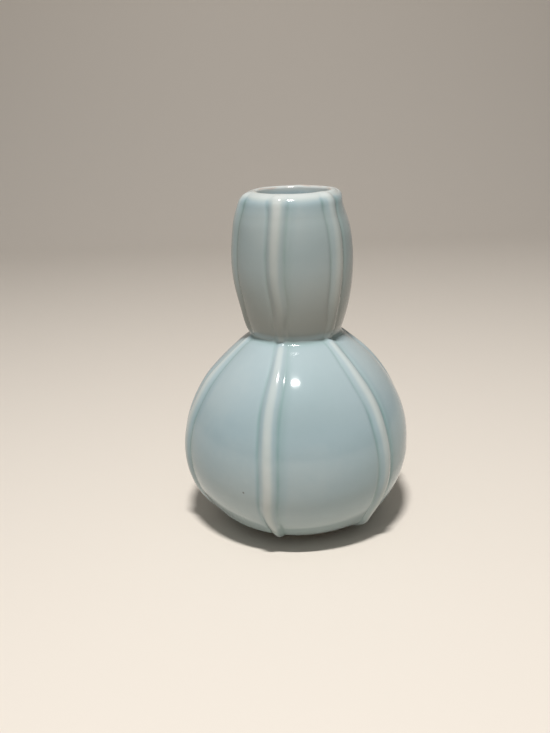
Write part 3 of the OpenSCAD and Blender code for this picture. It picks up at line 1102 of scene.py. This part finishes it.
class GOURD_OT_stage(bpy.types.Operator):
    """Make the floor that runs up into a backdrop, the lamp, the sky and the camera"""

    bl_idname = "gourd_vase.stage"
    bl_label = "Stage"

    def execute(self, context):
        own = settings()
        scene = context.scene

        # The floor is flat round the vase and turns up in a quarter circle behind it
        turn = np.linspace(0.0, np.pi / 2, 24)[1:]
        bend = FLOOR_BACK + FLOOR_BEND * np.sin(turn)
        depth = np.concatenate([[FLOOR_FRONT, FLOOR_BACK], bend, [FLOOR_BACK + FLOOR_BEND]])
        height = np.concatenate([[0.0, 0.0], FLOOR_BEND * (1.0 - np.cos(turn)), [BACKDROP_TOP]])
        across = np.array([-FLOOR_HALF_WIDTH, FLOOR_HALF_WIDTH])
        heading = np.radians(FLOOR_HEADING)
        back = np.array([np.sin(heading), np.cos(heading)])
        side = np.array([np.cos(heading), -np.sin(heading)])
        flat = depth[:, None, None] * back + across[None, :, None] * side
        rise = np.broadcast_to(height[:, None, None], (*flat.shape[:2], 1))
        points = np.concatenate([flat, rise], axis=-1)
        mesh = bpy.data.meshes.new("floor")
        faces = grid_faces(len(depth), 2, closed_columns=False)
        mesh.from_pydata(points.reshape(-1, 3).tolist(), [], faces.tolist())
        mesh.polygons.foreach_set("use_smooth", np.ones(len(faces), bool))
        mesh.update()
        floor = bpy.data.objects.new("floor", mesh)
        scene.collection.objects.link(floor)
        floor.data.materials.append(stage_material("floor_paint", own.floor_colour))

        # One lamp, high up and a little in front, as the photograph's shadow and highlights have it
        lamp = bpy.data.lights.new("lamp", "AREA")
        lamp.shape = "ELLIPSE"
        lamp.size, lamp.size_y = LAMP_LENGTH, LAMP_WIDTH
        lamp.energy = own.lamp_power
        lamp.color = LAMP_COLOUR
        lamp_object = bpy.data.objects.new("lamp", lamp)
        lamp_object.location = LAMP_PLACE
        away = lamp_object.location - Vector(LAMP_AIM)
        lamp_object.rotation_euler = away.to_track_quat("Z", "Y").to_euler()
        scene.collection.objects.link(lamp_object)

        # The sky is pale overhead and under the floor, dimmer and warmer near the horizon and to the right
        scene.world = bpy.data.worlds.new("sky")
        sky = Shader(scene.world)
        parts = sky.split(sky.node("ShaderNodeTexCoord")[0])
        upwards = (parts[2] - parts[0] * 0.12).clamped()
        stops = [(0.0, (0.20, 0.18, 0.16)), (0.75, (1.0, 1.0, 1.0))]
        shade = sky.node("ShaderNodeValToRGB", {"stops": stops}, {0: upwards})[0]
        shade = sky.mix(below(parts[2], -0.15, 6.0), shade, (1.0, 0.98, 0.95))
        light = sky.node("ShaderNodeBackground", {}, {"Color": shade, "Strength": own.sky_strength})[0]
        sky.node("ShaderNodeOutputWorld", {}, {"Surface": light})

        # The camera's place and turn come from a fit of the vase's outline, mouth, waist and ribs
        camera = bpy.data.cameras.new("camera")
        camera.sensor_fit = "VERTICAL"
        camera.sensor_height = CAMERA_SENSOR
        camera.lens = CAMERA_LENS
        camera.clip_start = 0.01
        camera_object = bpy.data.objects.new("camera", camera)
        yaw, pitch, roll = np.radians(CAMERA_YAW_PITCH_ROLL)
        ahead = np.array([np.sin(yaw) * np.cos(pitch), np.cos(yaw) * np.cos(pitch), -np.sin(pitch)])
        right = np.array([np.cos(yaw), -np.sin(yaw), 0.0])
        up = np.cross(right, ahead)
        right, up = right * np.cos(roll) + up * np.sin(roll), up * np.cos(roll) - right * np.sin(roll)
        matrix = np.eye(4)
        matrix[:3, 0], matrix[:3, 1], matrix[:3, 2] = right, up, -ahead
        matrix[:3, 3] = CAMERA_PLACE
        camera_object.matrix_world = Matrix(matrix.tolist())
        scene.collection.objects.link(camera_object)
        scene.camera = camera_object
        scene.view_settings.view_transform = "Standard"
        return {"FINISHED"}


class GOURD_PT_panel(bpy.types.Panel):
    """The vase's settings and one button for each piece"""

    bl_idname = "GOURD_PT_panel"
    bl_label = "Gourd vase"
    bl_space_type = "VIEW_3D"
    bl_region_type = "UI"
    bl_category = "Gourd Vase"

    def draw(self, context):
        column = self.layout.column()
        for key in GourdVaseSettings.__annotations__:
            column.prop(context.scene.gourd_vase, key)
        for operator in OPERATORS:
            column.operator(operator.bl_idname)


OPERATORS = (
    GOURD_OT_lower_bulb,
    GOURD_OT_upper_bulb,
    GOURD_OT_lower_ribs,
    GOURD_OT_upper_ribs,
    GOURD_OT_foot_ring,
    GOURD_OT_stage,
)
CLASSES = (GourdVaseSettings, *OPERATORS, GOURD_PT_panel)


def register():
    """Adds the classes and the scene's settings."""
    for item in CLASSES:
        bpy.utils.register_class(item)
    bpy.types.Scene.gourd_vase = bpy.props.PointerProperty(type=GourdVaseSettings)


def unregister():
    """Takes both away again."""
    del bpy.types.Scene.gourd_vase
    for item in reversed(CLASSES):
        bpy.utils.unregister_class(item)


def main():
    """Makes every piece and the stage."""
    register()
    for operator in OPERATORS:
        group, name = operator.bl_idname.split(".")
        getattr(getattr(bpy.ops, group), name)()


if __name__ == "__main__":
    main()
